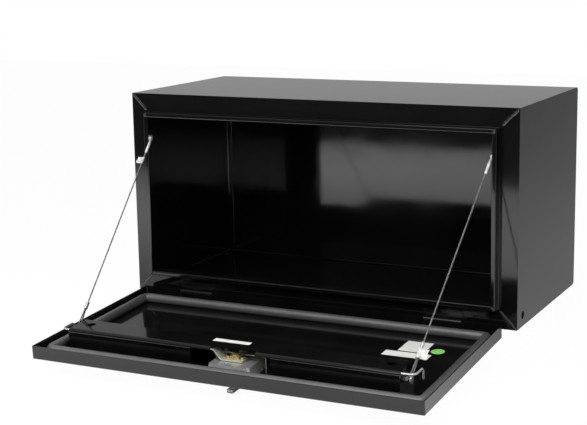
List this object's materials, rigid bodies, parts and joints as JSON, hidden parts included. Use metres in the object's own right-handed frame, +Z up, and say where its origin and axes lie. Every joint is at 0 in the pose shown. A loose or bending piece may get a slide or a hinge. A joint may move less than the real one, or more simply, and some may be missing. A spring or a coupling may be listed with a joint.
{
  "type": "underbody truck tool box",
  "caption": "Steel underbody tool box with a drop-down door on two hinges, held open by two stay cables, with a folding T handle cam latch.",
  "frame": {"origin": "centre of the bottom face of the box", "axes": "+X to the right along the box, +Y towards the back, +Z up; the door is drawn open"},
  "size_m": [0.9144, 0.8732, 0.5334],
  "materials": {
    "black_paint": "gloss black enamel",
    "black_paint_door": "gloss black enamel",
    "weld_paint": "rough, painted over",
    "hinge_paint": "gloss black enamel",
    "pin_steel": "plain",
    "seal_rubber": "smooth",
    "stainless": "bright",
    "zinc_plate": "zinc plated",
    "yellow_zinc": "yellow zinc plated",
    "lock_chrome": "polished",
    "bright_zinc": "bright zinc",
    "wire_rope": "laid strands",
    "sleeve_plastic": "soft, clear grey",
    "paper_tag": "paper",
    "white_film": "bare sticker",
    "green_film": "bare sticker"
  },
  "bodies": {
    "box": {"body_wrap": "black_paint", "end_panel_left": "black_paint", "end_panel_right": "black_paint", "frame_bottom": "black_paint", "frame_top": "black_paint", "frame_side_left": "black_paint", "frame_side_right": "black_paint", "frame_corner_welds": "weld_paint", "box_tacks": "weld_paint", "hinge_frame_leaf_left": "hinge_paint", "hinge_frame_leaf_right": "hinge_paint", "hinge_pin_left": "pin_steel", "hinge_pin_right": "pin_steel", "cable_screw_left": "bright_zinc", "cable_screw_right": "bright_zinc", "cable_screw_nut_left": "bright_zinc", "cable_screw_nut_right": "bright_zinc", "cable_eye_left": "bright_zinc", "cable_eye_right": "bright_zinc", "cable_left": "wire_rope", "cable_right": "wire_rope", "cable_sleeve_left": "sleeve_plastic", "cable_sleeve_right": "sleeve_plastic", "cable_tag_left": "paper_tag"},
    "door": {"cable_bolt_left": "bright_zinc", "cable_bolt_nut_left": "bright_zinc", "cable_bolt_nut_right": "bright_zinc", "cable_bolt_right": "bright_zinc", "cable_ferrule_left": "bright_zinc", "cable_ferrule_right": "bright_zinc", "cable_keeper_left": "bright_zinc", "cable_keeper_right": "bright_zinc", "cable_loop_left": "wire_rope", "cable_loop_right": "wire_rope", "cable_plate_left": "hinge_paint", "cable_plate_right": "hinge_paint", "cable_tag_right": "paper_tag", "door_channel": "black_paint_door", "door_corner_welds": "weld_paint", "door_pan": "black_paint_door", "door_seal": "seal_rubber", "hinge_door_leaf_left": "hinge_paint", "hinge_door_leaf_right": "hinge_paint", "hinge_door_tacks": "weld_paint", "latch_bushing": "yellow_zinc", "latch_pan": "stainless", "latch_strap": "zinc_plate", "latch_stud_nuts": "yellow_zinc", "latch_studs": "yellow_zinc", "sticker_channel": "white_film", "sticker_dot": "green_film", "sticker_square": "white_film", "sticker_strip": "white_film"},
    "spindle": {"latch_spindle": "yellow_zinc", "latch_fold_pin": "yellow_zinc", "latch_cam": "zinc_plate", "latch_cam_nuts": "yellow_zinc"},
    "handle": {"latch_handle": "stainless"},
    "lock": {"lock_plug": "lock_chrome"}
  },
  "joints": [
    {"name": "door_hinge", "type": "hinge", "parent": "box", "child": "door", "pos_m": [0, -0.2216, 0.0066], "axis": [-1, 0, 0], "range_deg": [0, 93.6], "deforming": ["door_seal", "cable_left", "cable_right", "cable_sleeve_left", "cable_sleeve_right", "cable_tag_left"]},
    {"name": "latch_turn", "type": "hinge", "parent": "door", "child": "spindle", "pos_m": [0, -0.5725, -0.02199], "axis": [0, -0.0628, 0.998], "range_deg": [0, 90]},
    {"name": "handle_fold", "type": "hinge", "parent": "spindle", "child": "handle", "pos_m": [0, -0.57181, -0.03297], "axis": [0, -0.998, -0.0628], "range_deg": [0, 90]},
    {"name": "lock_turn", "type": "hinge", "parent": "handle", "child": "lock", "pos_m": [0, -0.56942, -0.07089], "axis": [0, -0.0628, 0.998], "range_deg": [0, 90]}
  ]
}
